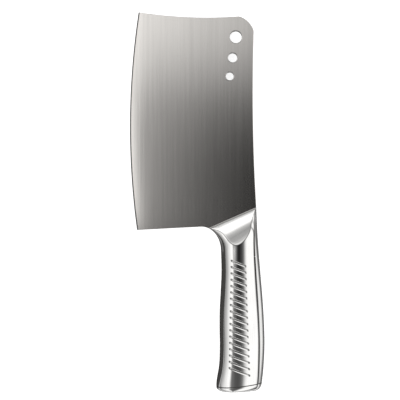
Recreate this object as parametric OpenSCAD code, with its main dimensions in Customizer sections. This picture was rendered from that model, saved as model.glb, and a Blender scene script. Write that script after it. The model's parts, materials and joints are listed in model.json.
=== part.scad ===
// All-steel kitchen cleaver with a hollow handle, lying on a table the way it comes to rest.
// Sizes are in millimetres and angles in degrees.
// Each piece is drawn flat: the cutting edge towards -X, the far end of the blade towards +Y and
// the handle towards -Y, with the middle of the plate at height zero. The drawing's origin is the
// point where the spine of the blade meets the bolster. laid_down() then sets the knife on the
// table, where its edge and the back of its handle touch.

/* [Blade] */
// Length of the blade from its heel corner to its far corner
blade_len = 172.1; // [150:0.1:195]
// Width of the blade from the spine line to the lowest point of the edge
blade_w = 100; // [88:0.5:115]
// Thickness of the plate
blade_t = 2.2; // [1.8:0.1:3]
// Radius of the rounded cutting edge
edge_r = 600; // [500:10:1000]
// Thickness of the very edge
edge_t = 0.2; // [0.2:0.05:0.5]
// Width of the small bevel along the edge
bevel_w = 1; // [0.6:0.1:2]
// Thickness of the plate where the small bevel ends
bevel_t = 1.2; // [0.6:0.1:1.4]
// Width of the ground zone along the edge, which thins towards the bevel
grind_w = 45; // [25:1:60]
// Distance from the heel corner up to the spine end of the bolster, along the handle
heel_drop = 17.4; // [14:0.1:24]
// Rise of the heel side from its corner to the neck
heel_rise = 2.6; // [0.5:0.1:5]
// Distance from the spine line to the point where the heel side turns into the neck
neck_reach = 43.4; // [40:0.1:52]
// Lean of the spine towards the edge at its far end
spine_lean = 1.7; // [0:0.1:4]
// Depth of the hollow in the spine
spine_hollow = 2.1; // [0.5:0.1:3]
// Drop of the far side from its edge corner to the crest beside its spine corner
end_drop = 2.9; // [0.5:0.1:6]
// Depth of the hollow in the far side
end_hollow = 2.7; // [0.5:0.1:4]
// Reach of the far spine corner, along each side
corner_r = 12; // [6:0.5:20]
// Fullness of the far spine corner, from 1 for a straight cut to 2 for a round
corner_fullness = 1.55; // [1.2:0.05:2]

/* [Holes] */
// Radius of the hanging hole
hang_hole_r = 4.75; // [3:0.05:6]
// Radius of the middle hole
middle_hole_r = 3.65; // [2:0.05:5]
// Radius of the small hole
small_hole_r = 3.15; // [2:0.05:4]
// Distance of the hanging hole from the spine line
hole_inset = 16.3; // [14:0.1:24]
// Distance of the hanging hole from the far corner, along the blade
hole_drop = 19.7; // [16:0.1:30]
// Step from the hanging hole to the middle hole
hole_step = 16.5; // [14:0.1:22]
// Step from the middle hole to the small hole
small_step = 14.8; // [12:0.1:20]
// Slant of the row of holes from the long direction
hole_slant = 8.8; // [0:0.1:15]

/* [Handle] */
// Length of the handle from the spine end of the bolster to the butt
handle_len = 145; // [138:0.5:160]
// Greatest width of the handle
handle_w = 36; // [32:0.5:40]
// Greatest thickness of the handle
handle_t = 22.4; // [19:0.2:26]
// Height of the crease along the spine side, above the middle of the handle
crease_h = 7.3; // [5.5:0.1:8]
// Length of the neck's curve, measured along the handle
neck_len = 19; // [15:0.5:24]
// Thickness of the shells' sheet
wall = 1.2; // [1:0.05:1.6]
// Length of the butt cap outside the shells
cap_len = 5.7; // [5.5:0.1:9]
// Radius around the end of the butt cap
cap_edge_r = 3.5; // [3:0.1:5]
// Length of the lip that the cap has inside the shells
cap_lip = 5; // [3:0.5:8]
// Slant of the seam between shells and cap, lower on the belly side
seam_slant = 5; // [0:0.5:6]
// Slant of the butt's end the other way
butt_slant = 2; // [0:0.5:3]

/* [Bolster] */
// Slant of the junction of blade and bolster
junction_slant = 23.6; // [18:0.1:28]
// Distance from the spine line to where the junction passes the origin's level
junction_inset = 1.6; // [1:0.1:2.5]
// Length of the ramp from the junction to the crown of the handle
ramp_len = 20.8; // [17:0.1:24]
// Angle by which the rounded ramp starts steeper than it is on average
ramp_round = 10; // [6:0.5:14]
// Distance from the spine end of the junction to the end of the bolster's outside
bolster_len = 37.4; // [36:0.1:39]
// Length of the spigot that enters the shells
spigot_len = 8; // [6:0.5:10]

/* [Tang] */
// Width of the stub tang
tang_w = 16; // [12:0.5:18]
// Thickness of the stub tang
tang_t = 1.8; // [1.4:0.1:1.8]
// Distance from the spine line to the middle of the tang
tang_inset = 15.5; // [14:0.5:17]
// Length of the tang beyond the bolster's spigot
tang_tail = 10; // [8:0.5:20]
// Radius of the two rivets through the tang
pin_r = 1.5; // [1:0.1:2]
// Distance between the two rivets
pin_gap = 9; // [7:0.5:9.5]
// Depth of the rivets' ends below the spigot's surface
pin_sink = 0.3; // [0.1:0.1:1]

/* [Grip] */
// Number of slanted grooves in each shell
groove_count = 18; // [6:1:18]
// Distance between grooves along the handle
groove_pitch = 4.93; // [4.5:0.01:4.93]
// Slant of each groove across the handle
groove_slant = 21; // [10:1:28]
// Radius of a groove's round bottom
groove_r = 1.1; // [0.8:0.1:1.6]
// Depth of a groove
groove_depth = 0.45; // [0.3:0.05:0.6]
// Distance from the spine end of the bolster to the middle of the first groove
groove_start = 42.6; // [42.6:0.1:44]

/* [Seams] */
// Width of the weld seams between the handle's pieces
seam_w = 0.8; // [0.5:0.1:1]
// Width of the fine seam between the shells and the cap
butt_seam_w = 0.4; // [0.3:0.05:0.8]
// Depth by which the butt seam lies below the surface
butt_seam_sink = 0.25; // [0.1:0.05:0.4]
// Width of the weld fillet between blade and bolster
fillet_w = 1.2; // [0.8:0.1:1.6]
// Depth of the weld fillet's foot in the bolster
fillet_foot = 0.3; // [0.2:0.05:0.4]

/* [Rest] */
// Clearance between pieces that slide into each other
fit = 0.05; // [0.02:0.01:0.1]

/* [Hidden] */

brushed = [0.62, 0.61, 0.6];
polished = [0.8, 0.8, 0.8];
weld_grey = [0.7, 0.69, 0.68];

// One overrun serves every cut that has to pass a face.
overrun = 2;
round_fn = 96;
disc_fn = 360;

// Places along the curves below are shares of handle_len; offsets are shares of handle_w, taken
// from the spine line, which is X = 0.
spine_shares = [[-0.02, -0.003], [0, 0], [0.115, 0.018], [0.235, 0.049], [0.35, 0.087],
    [0.45, 0.121], [0.55, 0.15], [0.65, 0.17], [0.75, 0.179], [0.85, 0.164], [0.93, 0.137],
    [1, 0.098]];
belly_shares = [[0.2, -0.784], [0.235, -0.777], [0.35, -0.768], [0.45, -0.784], [0.55, -0.806],
    [0.65, -0.81], [0.75, -0.804], [0.85, -0.819], [0.93, -0.87], [1, -0.938]];
// Width of the rounded facet between the crease and the spine side
facet_shares = [[-0.02, 0.012], [0, 0.02], [0.115, 0.074], [0.235, 0.107], [0.35, 0.122],
    [0.45, 0.131], [0.55, 0.135], [0.65, 0.134], [0.75, 0.133], [0.85, 0.121], [0.93, 0.104],
    [1, 0.09]];
// Height of the crown in shares of half the thickness, and of the crease in shares of crease_h
crown_shares = [[-0.02, 0.95], [0.2, 0.955], [0.35, 0.98], [0.5, 1], [0.65, 1], [0.8, 0.985],
    [1, 0.96]];
crease_shares = [[-0.02, 0.12], [0, 0.16], [0.057, 0.42], [0.115, 0.9], [0.175, 1], [0.5, 1],
    [1, 0.97]];
// The crown runs straight and then moves towards the belly on its way to the butt.
crown_share = -0.433;
butt_crown_share = -0.49;
crown_from_share = 0.4;
crown_to_share = 0.95;

// Belly side of the section: close to a quarter ellipse along the grip, and towards the junction
// held down to a share of the crown's height
belly_fullness = 0.47;
flank_share = 0.3;
flank_from_share = 0.069;
flank_to_share = 0.193;
flank_power = 8;

cap_at = handle_len - cap_len;
neck_at = heel_drop - heel_rise;
neck_end_at = neck_at + neck_len;
spigot_end_at = bolster_len + spigot_len;
shell_from = bolster_len + seam_w;
shell_to = cap_at - butt_seam_w;
inner_wall = wall + fit;
seam_half = seam_w / 2;

// A smooth curve through the rows of a table of shares, by cubic steps
function table_row(tab, t, i = 0) =
    i >= len(tab) - 2 || t < tab[i + 1][0] ? i : table_row(tab, t, i + 1);
function table_slope(tab, i) =
    let (lo = max(i - 1, 0), hi = min(i + 1, len(tab) - 1))
    (tab[hi][1] - tab[lo][1]) / (tab[hi][0] - tab[lo][0]);
function curve(tab, t) =
    let (i = table_row(tab, t),
         step = tab[i + 1][0] - tab[i][0],
         s = (t - tab[i][0]) / step,
         m0 = table_slope(tab, i) * step,
         m1 = table_slope(tab, i + 1) * step)
    tab[i][1] * (2 * pow(s, 3) - 3 * pow(s, 2) + 1) + m0 * (pow(s, 3) - 2 * pow(s, 2) + s)
    + tab[i + 1][1] * (3 * pow(s, 2) - 2 * pow(s, 3)) + m1 * (pow(s, 3) - pow(s, 2));
function eased(t, from, to) =
    let (s = min(max((t - from) / (to - from), 0), 1)) s * s * (3 - 2 * s);

// Outline and heights of the handle at a distance v below the drawing's origin
function spine_at(v) = handle_w * curve(spine_shares, v / handle_len);
function grip_belly_at(v) = handle_w * curve(belly_shares, v / handle_len);
function neck_belly_at(v) =
    let (s = min((neck_end_at - v) / neck_len, 1))
    -neck_reach + (grip_belly_at(neck_end_at) + neck_reach) * sqrt(1 - s * s);
function belly_at(v) = v < neck_end_at ? neck_belly_at(v) : grip_belly_at(v);
function crown_at(v) =
    handle_w * (crown_share + (butt_crown_share - crown_share)
        * eased(v / handle_len, crown_from_share, crown_to_share));
function crown_h_at(v) = handle_t / 2 * curve(crown_shares, v / handle_len);
function crease_x_at(v) = spine_at(v) - handle_w * curve(facet_shares, v / handle_len);
function crease_h_at(v) = crease_h * curve(crease_shares, v / handle_len);
function flank_at(v, rise) =
    let (low = flank_share + (1 - flank_share)
        * eased(v / handle_len, flank_from_share, flank_to_share))
    low + (1 - low) * pow(rise, flank_power);
// Rings lean to match the slanted seam at the cap, and the other way at the butt's end
function lean_at(v) =
    v < cap_at ? tan(seam_slant) * eased(v, spigot_end_at, cap_at)
    : tan(seam_slant) - (tan(seam_slant) + tan(butt_slant)) * eased(v, cap_at, handle_len);

// Height of the grip's surface at a distance X from the spine line
function surface_h(x, v) =
    let (crown_x = crown_at(v))
    x < crown_x
    ? let (rise = sqrt(1 - pow((crown_x - x) / (crown_x - belly_at(v)), 2)))
        crown_h_at(v) * pow(rise, 2 * belly_fullness) * flank_at(v, rise)
    : crown_h_at(v) - (crown_h_at(v) - crease_h_at(v))
        * pow((x - crown_x) / (crease_x_at(v) - crown_x), 2);

// Half a section, from the belly over the crown and the crease to the spine side
belly_steps = 9;
crown_steps = 5;
facet_steps = 3;
function belly_point(v, a) =
    [crown_at(v) - (crown_at(v) - belly_at(v)) * cos(a),
     crown_h_at(v) * pow(sin(a), 2 * belly_fullness) * flank_at(v, sin(a))];
function crown_point(v, s) =
    [crown_at(v) + (crease_x_at(v) - crown_at(v)) * s,
     crown_h_at(v) - (crown_h_at(v) - crease_h_at(v)) * s * s];
function facet_point(v, s) =
    [spine_at(v) - (spine_at(v) - crease_x_at(v)) * pow(1 - s, 2), crease_h_at(v) * (1 - s)];
function half_section(v) = concat(
    [for (i = [0 : belly_steps - 1]) belly_point(v, 90 * i / belly_steps)],
    [for (i = [0 : crown_steps - 1]) crown_point(v, i / crown_steps)],
    [for (i = [0 : facet_steps]) facet_point(v, i / facet_steps)]);

// The same half section drawn in by a wall, towards the crown line and the middle plane
function drawn_in(p, v, inset) =
    let (crown_x = crown_at(v),
         reach = p[0] < crown_x ? crown_x - belly_at(v) : spine_at(v) - crown_x)
    [crown_x + (p[0] - crown_x) * (1 - inset / reach), p[1] * (1 - inset / crown_h_at(v))];
function leaned(x, v, h) = [x, -v - lean_at(v) * (crown_at(v) - x), h];
function ring(v, inset = 0) =
    let (half = [for (p = half_section(v)) drawn_in(p, v, inset)], n = len(half))
    concat([for (p = half) leaned(p[0], v, p[1])],
        [for (i = [n - 2 : -1 : 1]) leaned(half[i][0], v, -half[i][1])]);

// A closed solid through rings, with flat ends
function ring_faces(rings, n) = concat(
    [for (r = [0 : rings - 2]) for (i = [0 : n - 1])
        [r * n + i, r * n + (i + 1) % n, (r + 1) * n + (i + 1) % n]],
    [for (r = [0 : rings - 2]) for (i = [0 : n - 1])
        [r * n + i, (r + 1) * n + (i + 1) % n, (r + 1) * n + i]],
    [[for (i = [n - 1 : -1 : 0]) i]],
    [[for (i = [0 : n - 1]) (rings - 1) * n + i]]);
module loft(from, to, steps, inset = 0) {
    rings = [for (k = [0 : steps]) ring(from + (to - from) * k / steps, inset)];
    polyhedron([for (r = rings) each r], ring_faces(steps + 1, len(rings[0])), convexity = 6);
}

// Blade outline
edge_low_share = 0.475;
far_y = blade_len - heel_drop;
edge_centre = [edge_r - blade_w, edge_low_share * blade_len - heel_drop];
arc_steps = 24;
function edge_x(y) = edge_centre[0] - sqrt(pow(edge_r, 2) - pow(y - edge_centre[1], 2));
heel_corner = [edge_x(-heel_drop), -heel_drop];
far_corner = [edge_x(far_y), far_y];
spine_corner = [-spine_lean, far_y - end_drop];
spine_stop_share = 1 - corner_r / spine_corner[1];
// A shallow hollow of a given depth between two points
function hollow(from, to, depth, s) =
    let (d = to - from, side = [-d[1], d[0]] / norm(d))
    from + d * s + side * 4 * depth * s * (1 - s);
spine_stop = hollow([0, 0], spine_corner, spine_hollow, spine_stop_share);
corner_centre = spine_stop - [corner_r, 0];
crest = corner_centre + [0, far_y - end_drop - spine_stop[1]];
function corner_point(a) =
    [corner_centre[0] + corner_r * pow(cos(a), 2 / corner_fullness),
     corner_centre[1] + (crest[1] - corner_centre[1]) * pow(sin(a), 2 / corner_fullness)];
blade_outline = concat(
    [[overrun, -heel_drop - overrun], [0, 0]],
    [for (i = [1 : arc_steps]) hollow([0, 0], spine_corner, spine_hollow,
        spine_stop_share * i / arc_steps)],
    [for (i = [1 : arc_steps - 1]) corner_point(90 * i / arc_steps)],
    [for (i = [0 : arc_steps]) hollow(crest, far_corner, end_hollow, i / arc_steps)],
    [[-blade_w - overrun, far_y], [-blade_w - overrun, -heel_drop], heel_corner],
    [for (i = [0 : arc_steps]) let (v = neck_at + neck_len / 2 * i / arc_steps) [belly_at(v), -v]]);

// Half-thickness of the plate across the ground zone, which rounds over into the flat
grind_power = 6;
grind_spread = 1.6;
grind_steps = 10;
function grind_point(s) =
    [edge_r - bevel_w - (grind_w - bevel_w) * s,
     blade_t / 2 - (blade_t - bevel_t) / 2 * pow(1 - s, grind_power)];
grind_profile = concat(
    [[edge_r, edge_t / 2]],
    [for (i = [0 : grind_steps]) grind_point(pow(i / grind_steps, grind_spread))],
    [[edge_r - 2 * blade_w, blade_t / 2]]);
mirrored_profile = [for (i = [len(grind_profile) - 1 : -1 : 0])
    [grind_profile[i][0], -grind_profile[i][1]]];

// Junction of blade and bolster: its own X runs along it to the spine, its own Y to the blade
ramp_rise = crown_h_at(neck_end_at) - blade_t / 2;
ramp_angle = atan(ramp_rise / ramp_len) + ramp_round;
ramp_r = norm([ramp_len, ramp_rise]) / 2 / sin(ramp_round);
ramp_centre = [-ramp_r * sin(ramp_angle), blade_t / 2 - ramp_r * cos(ramp_angle)];
function ramp_h(d) = ramp_centre[1] + sqrt(pow(ramp_r, 2) - pow(d + ramp_centre[0], 2));
module at_junction() {
    translate([-junction_inset, 0, 0]) rotate(junction_slant) children();
}
module junction_side(side) {
    at_junction()
        translate([0, side * blade_len, 0])
            cube([2 * blade_len, 2 * blade_len, handle_w], center = true);
}
module along_junction() {
    at_junction() rotate([90, 0, 90]) linear_extrude(2 * blade_w, center = true) children();
}

// Rivets through spigot and tang
pin_at = bolster_len + spigot_len / 2;
function spigot_h(x, v) =
    let (crown_x = crown_at(v),
         reach = x < crown_x ? crown_x - belly_at(v) : spine_at(v) - crown_x,
         outer_x = crown_x + (x - crown_x) / (1 - inner_wall / reach))
    surface_h(outer_x, v) * (1 - inner_wall / crown_h_at(v));
pin_half = min([for (side = [-1, 1])
    spigot_h(-tang_inset + side * (pin_gap / 2 + pin_r), pin_at)]) - pin_sink;
module at_pins() {
    for (side = [-1, 1])
        translate([-tang_inset + side * pin_gap / 2, -pin_at, 0]) children();
}

module pin_holes() {
    at_pins() cylinder(r = pin_r + fit, h = handle_w, center = true, $fn = round_fn);
}

// Places of the grip grooves: each is a bent capsule that follows the handle's round
groove_left_share = -0.555;
groove_right_share = -0.267;
groove_left_spread_share = -0.05;
groove_right_spread_share = 0.085;
function groove_spot(i, share, spread) =
    let (x = (share + spread * i / groove_count) * handle_w,
         v = groove_start + groove_pitch * i + (x - crown_share * handle_w) * tan(groove_slant))
    [x, -v, surface_h(x, v) + groove_r - groove_depth];
module groove(i) {
    spots = [groove_spot(i, groove_left_share, groove_left_spread_share),
        groove_spot(i, crown_share, 0),
        groove_spot(i, groove_right_share, groove_right_spread_share)];
    for (k = [0, 1])
        hull() {
            translate(spots[k]) sphere(groove_r, $fn = 14);
            translate(spots[k + 1]) sphere(groove_r, $fn = 14);
        }
}

// How the knife lies: it turns about a line that touches its edge near the far corner, until the
// back of the handle meets the table. The share says where along the edge that line touches.
rest_share = 0.86;
rest_y = rest_share * blade_len - heel_drop;
rest_swing = asin((rest_y - edge_centre[1]) / edge_r);
rest_foot = edge_centre + (edge_r - bevel_w) * [-cos(rest_swing), sin(rest_swing)];
rest_line = [sin(rest_swing), cos(rest_swing), 0];
rest_side = [cos(rest_swing), -sin(rest_swing), 0];
station_count = 48;
handle_stations = [for (k = [1 : station_count]) handle_len * k / station_count];
handle_back = [for (v = handle_stations) if (v > neck_end_at && v < cap_at) each ring(v)];
rest_roll = max([for (p = handle_back)
    let (out = (p - [rest_foot[0], rest_foot[1], 0]) * rest_side)
    atan((-p[2] - bevel_t / 2) / out) ]);
function rolled(p) =
    let (q = p - [rest_foot[0], rest_foot[1], -bevel_t / 2],
         out = q * rest_side,
         along = q * rest_line)
    along * rest_line + (out * cos(rest_roll) - q[2] * sin(rest_roll)) * rest_side
    + [0, 0, out * sin(rest_roll) + q[2] * cos(rest_roll)];
spread_points = concat(
    [for (p = concat(blade_outline, [for (i = [0 : arc_steps])
        let (y = heel_corner[1] + blade_len * i / arc_steps) [edge_x(y), y]]))
        if (p[0] >= edge_x(p[1]) && p[0] <= 0) rolled([p[0], p[1], 0])],
    [for (v = handle_stations) each [for (p = ring(v)) rolled(p)]]);
rest_middle = [for (axis = [0, 1])
    (max([for (p = spread_points) p[axis]]) + min([for (p = spread_points) p[axis]])) / 2];
module laid_down() {
    translate([-rest_middle[0], -rest_middle[1], 0])
        rotate(-rest_roll, rest_line)
            translate([-rest_foot[0], -rest_foot[1], bevel_t / 2])
                children();
}

// Steel plate with its ground edge and its holes
module blade() {
    color(brushed) laid_down()
        difference() {
            intersection() {
                linear_extrude(blade_t + overrun, center = true) polygon(blade_outline);
                translate([edge_centre[0], edge_centre[1], 0])
                    rotate_extrude($fn = disc_fn)
                        polygon(concat(grind_profile, mirrored_profile));
                junction_side(1);
            }
            hole_row();
        }
}
hang_hole_at = [-hole_inset, far_y - hole_drop];
hole_line = -[sin(hole_slant), cos(hole_slant)];
middle_hole_at = hang_hole_at + hole_step * hole_line;
small_hole_at = middle_hole_at + small_step * hole_line;
module hole(at, r) {
    translate([at[0], at[1], 0]) cylinder(r = r, h = handle_w, center = true, $fn = round_fn);
}
module hole_row() {
    hole(hang_hole_at, hang_hole_r);
    hole(middle_hole_at, middle_hole_r);
    hole(small_hole_at, small_hole_r);
}

// Stub tang: a narrower strip, butt welded to the blade along the junction
tang_end_at = spigot_end_at + tang_tail;
module tang_strip(gap) {
    translate([-tang_inset, -tang_end_at / 2, 0])
        cube([tang_w, tang_end_at, tang_t] + 2 * gap * [1, 1, 1], center = true);
}
module tang() {
    color(weld_grey) laid_down()
        difference() {
            intersection() {
                tang_strip(0);
                junction_side(-1);
            }
            pin_holes();
        }
}

// Solid head between blade and handle, with a ramp on each face and a spigot for the shells
module bolster() {
    color(polished) laid_down()
        difference() {
            union() {
                intersection() {
                    loft(-overrun, bolster_len, 20);
                    junction_side(-1);
                    ramp_limit();
                    mirror([0, 0, 1]) ramp_limit();
                }
                loft(bolster_len, spigot_end_at, 3, inner_wall);
            }
            tang_strip(fit);
            fillet_seat();
            mirror([0, 0, 1]) fillet_seat();
            pin_holes();
        }
}
module ramp_limit() {
    at_junction()
        translate([0, ramp_centre[0], ramp_centre[1]])
            rotate([0, 90, 0])
                cylinder(r = ramp_r, h = 2 * blade_w, center = true, $fn = disc_fn);
}
fillet_foot_h = blade_t / 2 - fillet_foot;
module fillet_seat() {
    along_junction()
        polygon([[-fillet_w, fillet_foot_h], [overrun, fillet_foot_h], [overrun, handle_w],
            [-fillet_w, handle_w]]);
}

// Rivets that hold the tang in the spigot, out of sight under the shells
module tang_pins() {
    color(weld_grey) laid_down()
        at_pins() cylinder(r = pin_r, h = 2 * pin_half, center = true, $fn = round_fn);
}

// Weld on the end of the spigot, on both sides of the tang
weld_leg = 2;
module tang_weld() {
    color(weld_grey) laid_down()
        for (side = [-1, 1])
            translate([-tang_inset, -spigot_end_at, side * tang_t / 2])
                rotate([90, 0, 90])
                    linear_extrude(tang_w, center = true)
                        polygon([[0, 0], [-weld_leg, 0], [0, side * weld_leg]]);
}

// Fillet welds along the junction of blade and bolster
fillet_steps = 6;
fillet_face = [for (i = [0 : fillet_steps])
    let (s = i / fillet_steps)
    [-fillet_w * s, blade_t / 2 + (ramp_h(fillet_w) - blade_t / 2) * s * (1 + s) / 2]];
module fillet_weld() {
    intersection() {
        loft(-overrun, neck_end_at, 12);
        along_junction()
            polygon(concat([[0, fillet_foot_h]], fillet_face, [[-fillet_w, fillet_foot_h]]));
    }
}
module blade_weld_front() {
    color(weld_grey) laid_down() fillet_weld();
}
module blade_weld_back() {
    color(weld_grey) laid_down() mirror([0, 0, 1]) fillet_weld();
}

// Pressed halves of the hollow handle
shell_steps = 24;
module half_shell() {
    difference() {
        loft(shell_from, shell_to, shell_steps);
        loft(shell_from - overrun, shell_to + overrun, shell_steps, wall);
        translate([0, -handle_len / 2, -handle_w + seam_half])
            cube([4 * handle_w, 2 * handle_len, 2 * handle_w], center = true);
        for (i = [0 : groove_count - 1])
            groove(i);
    }
}
module front_shell() {
    color(polished) laid_down() half_shell();
}
module back_shell() {
    color(polished) laid_down() mirror([0, 0, 1]) half_shell();
}

// Ring of weld between the bolster and the shells
module bolster_seam_weld() {
    color(polished) laid_down()
        difference() {
            loft(bolster_len, shell_from, 1);
            loft(bolster_len - overrun, shell_from + overrun, 3, inner_wall);
        }
}

// Long welds between the two shells: a strip as thick as the sheet, swept along the handle
function spine_x_at_height(v, h) =
    spine_at(v) - (spine_at(v) - crease_x_at(v)) * pow(h / crease_h_at(v), 2);
function belly_x_at_height(v, h) =
    crown_at(v) - (crown_at(v) - belly_at(v)) * sqrt(1 - pow(h / crown_h_at(v), 1 / belly_fullness));
function strip_ring(v, out, low, inward) =
    [leaned(low, v, -seam_half), leaned(out, v, 0), leaned(low, v, seam_half),
     leaned(low - inward, v, seam_half), leaned(low - inward, v, -seam_half)];
module strip(rings) {
    polyhedron([for (r = rings) each r], ring_faces(len(rings), len(rings[0])), convexity = 4);
}
strip_places = [for (k = [0 : shell_steps]) shell_from + (shell_to - shell_from) * k / shell_steps];
module spine_seam_weld() {
    color(polished) laid_down()
        strip([for (v = strip_places)
            strip_ring(v, spine_at(v), spine_x_at_height(v, seam_half), wall)]);
}
module belly_seam_weld() {
    color(polished) laid_down()
        strip([for (v = strip_places)
            let (r = strip_ring(v, belly_at(v), belly_x_at_height(v, seam_half), -wall))
            [for (i = [len(r) - 1 : -1 : 0]) r[i]]]);
}

// Domed end of the handle: its rings draw in along a quarter circle
dome_steps = 6;
module butt_cap() {
    dome_from = handle_len - cap_edge_r;
    dome = [for (k = [1 : dome_steps])
        let (a = 90 * k / dome_steps)
        ring(dome_from + cap_edge_r * sin(a), cap_edge_r * (1 - cos(a)))];
    body = [ring(cap_at), ring(dome_from)];
    rings = concat(body, dome);
    color(polished) laid_down()
        difference() {
            union() {
                polyhedron([for (r = rings) each r], ring_faces(len(rings), len(rings[0])),
                    convexity = 6);
                loft(shell_to - cap_lip, cap_at + wall, 3, inner_wall);
            }
            loft(shell_to - cap_lip - overrun, shell_to, 3, inner_wall + wall);
        }
}

// Fine ring of weld between the shells and the cap, a little below the surface
module butt_seam_weld() {
    color(weld_grey) laid_down()
        difference() {
            loft(shell_to, cap_at, 1, butt_seam_sink);
            loft(shell_to - overrun, cap_at + overrun, 3, inner_wall);
        }
}

blade();
tang();
bolster();
tang_pins();
tang_weld();
blade_weld_front();
blade_weld_back();
front_shell();
back_shell();
bolster_seam_weld();
spine_seam_weld();
belly_seam_weld();
butt_cap();
butt_seam_weld();
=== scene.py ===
# All-steel kitchen cleaver: brushed blade, polished bolster and hollow grip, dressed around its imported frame.
# Every piece is worked out flat in millimetres, with the edge to the left, the blade up, the handle down and
# the mid-plate at height 0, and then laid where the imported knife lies.
import json
import math
import bmesh
import bpy
import numpy as np
from mathutils import Matrix, Vector
from mathutils.geometry import tessellate_polygon


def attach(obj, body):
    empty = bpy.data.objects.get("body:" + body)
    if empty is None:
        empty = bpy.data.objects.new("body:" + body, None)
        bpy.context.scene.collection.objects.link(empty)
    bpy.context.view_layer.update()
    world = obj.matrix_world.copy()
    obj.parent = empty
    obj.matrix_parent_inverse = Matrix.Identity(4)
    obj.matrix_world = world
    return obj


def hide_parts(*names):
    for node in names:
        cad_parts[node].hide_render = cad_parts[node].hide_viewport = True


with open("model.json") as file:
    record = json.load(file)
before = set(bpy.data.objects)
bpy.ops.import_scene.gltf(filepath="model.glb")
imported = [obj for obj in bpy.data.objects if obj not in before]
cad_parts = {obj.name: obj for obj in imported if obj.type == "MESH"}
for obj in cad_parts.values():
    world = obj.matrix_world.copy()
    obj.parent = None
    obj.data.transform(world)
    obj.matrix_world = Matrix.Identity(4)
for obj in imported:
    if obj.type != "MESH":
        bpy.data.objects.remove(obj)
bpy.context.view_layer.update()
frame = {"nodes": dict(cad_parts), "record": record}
mm = 0.001
print("frame loaded:", len(frame["nodes"]), "nodes")


# Where the drawing lies: the row of holes gives its turn, the hanging hole its place
holeRow = {"hangAt": (-16.3, 135.0), "slant": 8.8}


def unit(vectors):
    # every vector over its own length
    return vectors / np.linalg.norm(vectors, axis=-1, keepdims=True)


def readLay():
    # the row's direction and the holes' axis span the drawing's own X and Y
    mounts = {m["name"]: m for m in frame["record"]["mounts"]}
    hang, small = (np.array(mounts[n]["pos_m"]) for n in ("hang_hole", "small_hole"))
    up = unit(np.array(mounts["hang_hole"]["axis"]))
    row = hang - small
    row = unit(row - up * row.dot(up))
    side = np.cross(row, up)
    turn = math.radians(holeRow["slant"])
    across = math.sin(turn) * row + math.cos(turn) * side
    along = math.cos(turn) * row - math.sin(turn) * side
    x, y = holeRow["hangAt"]
    return hang - (across * x + along * y) * mm, np.array([across, along, up])


layAt, layAxes = readLay()


def laid(points):
    # drawing millimetres to the frame's metres
    return layAt + np.asarray(points, float) @ layAxes * mm


# Shader maths: a wire is an output socket that can be added, subtracted, multiplied and divided
class Wire:
    def __init__(self, bench, socket):
        self.bench = bench
        self.socket = socket

    def maths(self, operation, first, second):
        return self.bench.add("ShaderNodeMath", {"operation": operation}, {0: first, 1: second})

    def __add__(self, other):
        return self.maths("ADD", self, other)

    def __radd__(self, other):
        return self.maths("ADD", other, self)

    def __sub__(self, other):
        return self.maths("SUBTRACT", self, other)

    def __rsub__(self, other):
        return self.maths("SUBTRACT", other, self)

    def __mul__(self, other):
        return self.maths("MULTIPLY", self, other)

    def __rmul__(self, other):
        return self.maths("MULTIPLY", other, self)

    def __truediv__(self, other):
        return self.maths("DIVIDE", self, other)

    def __rtruediv__(self, other):
        return self.maths("DIVIDE", other, self)


class Bench:
    # a node tree that hands back wires
    def __init__(self, tree):
        self.tree = tree
        self.tree.nodes.clear()

    def add(self, kind, settings=None, sockets=None, out=0):
        # a node of that kind, its settings first, then the values or wires of its sockets
        node = self.tree.nodes.new(kind)
        for key, value in (settings or {}).items():
            if key == "stops":
                self.setStops(node.color_ramp, value)
            else:
                setattr(node, key, value)
        for key, value in (sockets or {}).items():
            if isinstance(value, Wire):
                self.tree.links.new(value.socket, node.inputs[key])
            else:
                node.inputs[key].default_value = value
        return Wire(self, node.outputs[out]) if len(node.outputs) else node

    def setStops(self, ramp, stops):
        # stops are (place, grey)
        while len(ramp.elements) < len(stops):
            ramp.elements.new(1)
        for element, (place, grey) in zip(ramp.elements, stops):
            element.position = place
            element.color = (grey, grey, grey, 1)

    def tint(self, low, high, mask):
        # a colour between two, by a mask from 0 to 1
        return self.add("ShaderNodeMix", {"data_type": "RGBA"}, {0: mask, 6: low, 7: high}, out=2)

    def spot(self, scale=(1, 1, 1)):
        # a place on the piece in metres, stretched
        return self.add("ShaderNodeMapping", None, {0: self.add("ShaderNodeTexCoord", out=3), 3: scale})

    def noise(self, place, scale, detail=2.0, roughness=0.5):
        return self.add("ShaderNodeTexNoise", None,
                        {0: place, "Scale": scale, "Detail": detail, "Roughness": roughness})

    def ramp(self, value, stops):
        return self.add("ShaderNodeValToRGB", {"stops": stops}, {0: value})

    def paintedDark(self, colour, dark):
        # the piece's attribute of painted shade says where the colour turns dark, a dark line painted where
        # shade or a dark reflection falls
        return self.tint(colour, dark, self.add("ShaderNodeAttribute", {"attribute_name": "soil"}, out=2))

    def steel(self, colour, rough, bump=None):
        # metal; a bump is a height, a strength and a distance in metres
        sockets = {"Base Color": colour, "Metallic": 1.0, "Roughness": rough}
        if bump:
            named = dict(zip(("Height", "Strength", "Distance"), bump))
            sockets["Normal"] = self.add("ShaderNodeBump", None, named)
        return self.add("ShaderNodeBsdfPrincipled", None, sockets)


def newFinish(name, body):
    # a material whose nodes the body lays out on a bench
    material = bpy.data.materials.new(name)
    material.use_nodes = True
    bench = Bench(material.node_tree)
    bench.add("ShaderNodeOutputMaterial", None, {0: body(bench)})
    return material


# Turn of the drawing about the vertical, so that brushing lines can follow the blade
layTurn = math.atan2(layAxes[0][1], layAxes[0][0])

# its dark edge colour paints a line along the cutting edge: painted shade, not a colour of the steel
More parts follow.
